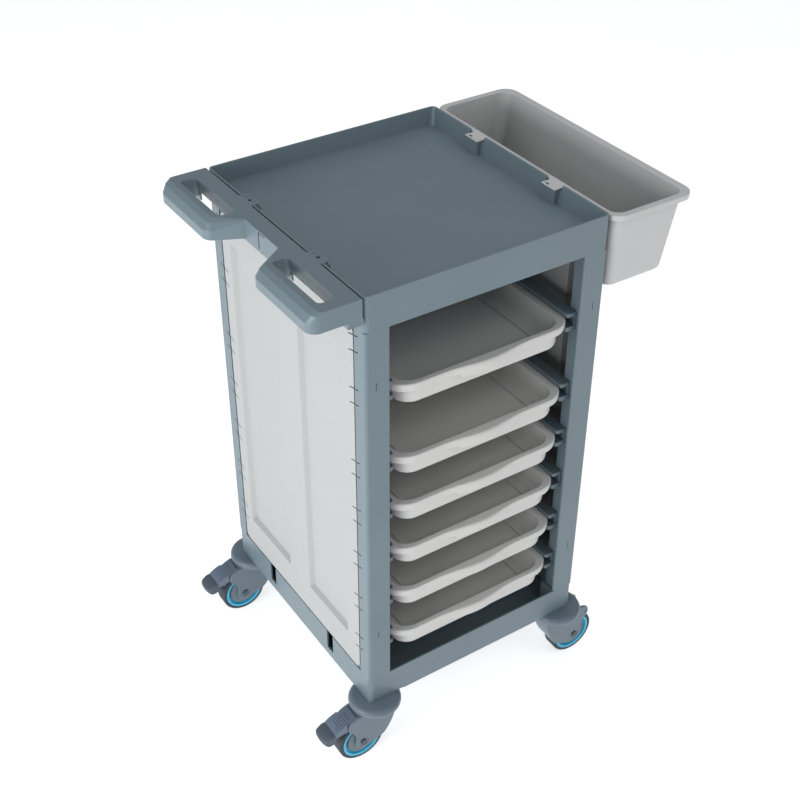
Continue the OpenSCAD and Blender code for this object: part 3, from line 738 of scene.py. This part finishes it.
def ribbed_plate():
    """Raised plate that follows the pedal's curved top, with five cross ribs."""
    plate = (12.5, [-66 - 3 * k for k in range(12)], -0.8, 1.2)
    ribs = [(9.5, [-69.5 - 5.6 * k, -72 - 5.6 * k], 0.6, 2.3) for k in range(5)]
    parts = []
    for half, xs, low, high in [plate, *ribs]:
        pts = [(x, top_at(x) + high) for x in xs] + [(x, top_at(x) + low) for x in reversed(xs)]
        parts.append(prism(pts, -half, half, 0.4, 2))
    return parts


def thumb_tip():
    """Rounded block at the free end: the side view shrinks towards both flanks and the end bows outward."""
    part = bmesh.new()
    loop = smooth_loop(PEDAL_TIP, [0.5, 3, 6, 4, 4, 5, 3, 0.5], 4)
    mx, mz, half, slices = -109.0, -49.5, 22.0, 9
    rows = []
    for k in range(-slices, slices + 1):
        y = half * math.sin(math.pi / 2 * k / slices)
        s = (1 - min(0.985, abs(y / (half + 0.4))) ** 5) ** 0.2
        bow = 3.2 * (y / half) ** 2
        points = []
        for x, z in loop:
            sx = mx + (x - mx) * (0.72 + 0.28 * s)
            # the root stays where it meets the arm, the free end bows
            px = max(sx, x) if x > mx else sx + bow * min(1.0, (mx - x) / 12.0)
            points.append(part.verts.new((px, y, mz + (z - mz) * (0.66 + 0.34 * s))))
        rows.append(points)
    bridge(part, rows)
    bmesh.ops.recalc_face_normals(part, faces=part.faces[:])
    return part


def pedal_shape():
    loop = smooth_loop(PEDAL_TOP + PEDAL_LOW, [1, 8, 12, 12, 6, 1, 1, 4, 10, 3, 1], 3)
    arm = prism(loop, -21, 21, 2.2, 4)
    sides = [prism([(-75.5, -70), (-40, -70), (-40, -10), (-75.5, -10)], y - 2.5, y + 2.5)
             for y in (-20.7, 20.7)]
    arm = carve(arm, sides)
    pin = spin([(0, -22.8), (2.5, -22.8), (2.5, 22.8), (0, 22.8)], 32, closed=False)
    for v in pin.verts:
        v.co += Vector((PIVOT_X, 0, PIVOT_Z))
    shoe = prism(smooth_loop(PEDAL_SHOE, [0.5, 1, 1, 1, 1, 0.5], 2), -13, 13, 0.6, 2)
    return [arm, shoe, pin] + ribbed_plate()


FORK = fork_shape()
for which in TRAILS_TO:
    t, wt = swivel_turn(which), wheel_turn(which)
    as_piece(FORK.copy(), t, "swivel_fork_" + which, "swivel_" + which, "caster", ("fork_" + which,))
    as_piece(tall_spin(COVER, 96), t, "bumper_" + which, "cart", "caster", ("cover_" + which,))
    as_piece(spin(TYRE, 96), wt, "wheel_tyre_" + which, "wheel_" + which, "tyre", ("tyre_" + which,))
    as_piece(spin(BAND, 96), wt, "wheel_band_" + which, "wheel_" + which, "band", ("rim_" + which,))
    as_piece(spin(HUB, 72), wt, "wheel_hub_" + which, "wheel_" + which, "hub", ("hub_" + which,))
FORK.free()
for which in ("fl", "bl"):
    bm = bmesh.new()
    for part in pedal_shape():
        join(bm, part, swivel_turn(which))
    finish_mesh(bm, "brake_pedal_" + which, "brake_" + which, "pedal", ("pedal_" + which,))
    bm = bmesh.new()
    join(bm, thumb_tip(), swivel_turn(which))
    finish_mesh(bm, "pedal_tip_" + which, "brake_" + which, "pedal", look="pedal_tip")


# ---------------------------------------------------------------- camera, light, floor
AZ, EL, ROLL = -0.5828031, 0.6338938, 0.0036825   # radians
back = Vector((math.sin(AZ) * math.cos(EL), -math.cos(AZ) * math.cos(EL), math.sin(EL)))
right = Vector((0, 0, 1)).cross(back).normalized()
up = back.cross(right)
cr, sr = math.cos(ROLL), math.sin(ROLL)
cam_x, cam_y = cr * right + sr * up, -sr * right + cr * up
cam_data = bpy.data.cameras.new("photo_camera")
cam = bpy.data.objects.new("photo_camera", cam_data)
bpy.context.scene.collection.objects.link(cam)
cam_data.lens, cam_data.sensor_width = 60.19, 36.0
cam_data.clip_start, cam_data.clip_end = 0.05, 50.0
pose = Matrix((cam_x, cam_y, back)).transposed().to_4x4()
pose.translation = row(-1155.56, -1744.93, 2006.80)
cam.matrix_world = pose
bpy.context.scene.camera = cam


def area(name, loc, size, power):
    """Soft light aimed at the middle of the cart."""
    d = bpy.data.lights.new(name, "AREA")
    d.shape = "RECTANGLE"
    d.size, d.size_y = size
    d.energy = power
    o = bpy.data.objects.new(name, d)
    o.location = loc
    o.rotation_mode = "QUATERNION"
    o.rotation_quaternion = (Vector((0, 0, 0.5)) - Vector(loc)).to_track_quat("-Z", "Y")
    bpy.context.scene.collection.objects.link(o)


area("key", (-2.8, -0.5, 1.2), (2.2, 1.2), 46)
area("fill", (0.5, -2.4, 3.0), (2.4, 1.4), 14.5)
area("top", (0.3, 0.4, 3.4), (2.2, 2.2), 11)
world = bpy.data.worlds.new("studio")
bpy.context.scene.world = world
world.use_nodes = True
sky = world.node_tree.nodes["Background"]
sky.inputs["Color"].default_value = (0.96, 0.98, 1.0, 1.0)
sky.inputs["Strength"].default_value = 0.4
bpy.context.scene.view_settings.view_transform = "Standard"

bm = bmesh.new()
bmesh.ops.create_grid(bm, x_segments=24, y_segments=24, size=8.0)
floor_me = bpy.data.meshes.new("floor")
bm.to_mesh(floor_me)
bm.free()
floor_mat, tree, shader = new_material("floor_pale")
drift = noise(tree, node(tree, "ShaderNodeTexCoord").outputs["Object"], 3.0, 2.0)
pale = ramp(tree, drift.outputs[0], [(0.3, (0.93, 0.93, 0.93)), (0.7, (0.96, 0.96, 0.96))])
tree.links.new(pale.outputs[0], shader.inputs["Base Color"])
shader.inputs["Roughness"].default_value = 0.8
shader.inputs["Emission Color"].default_value = (1.0, 1.0, 1.0, 1.0)
shader.inputs["Emission Strength"].default_value = 0.58
floor_me.materials.append(floor_mat)
floor = bpy.data.objects.new("floor", floor_me)
bpy.context.scene.collection.objects.link(floor)
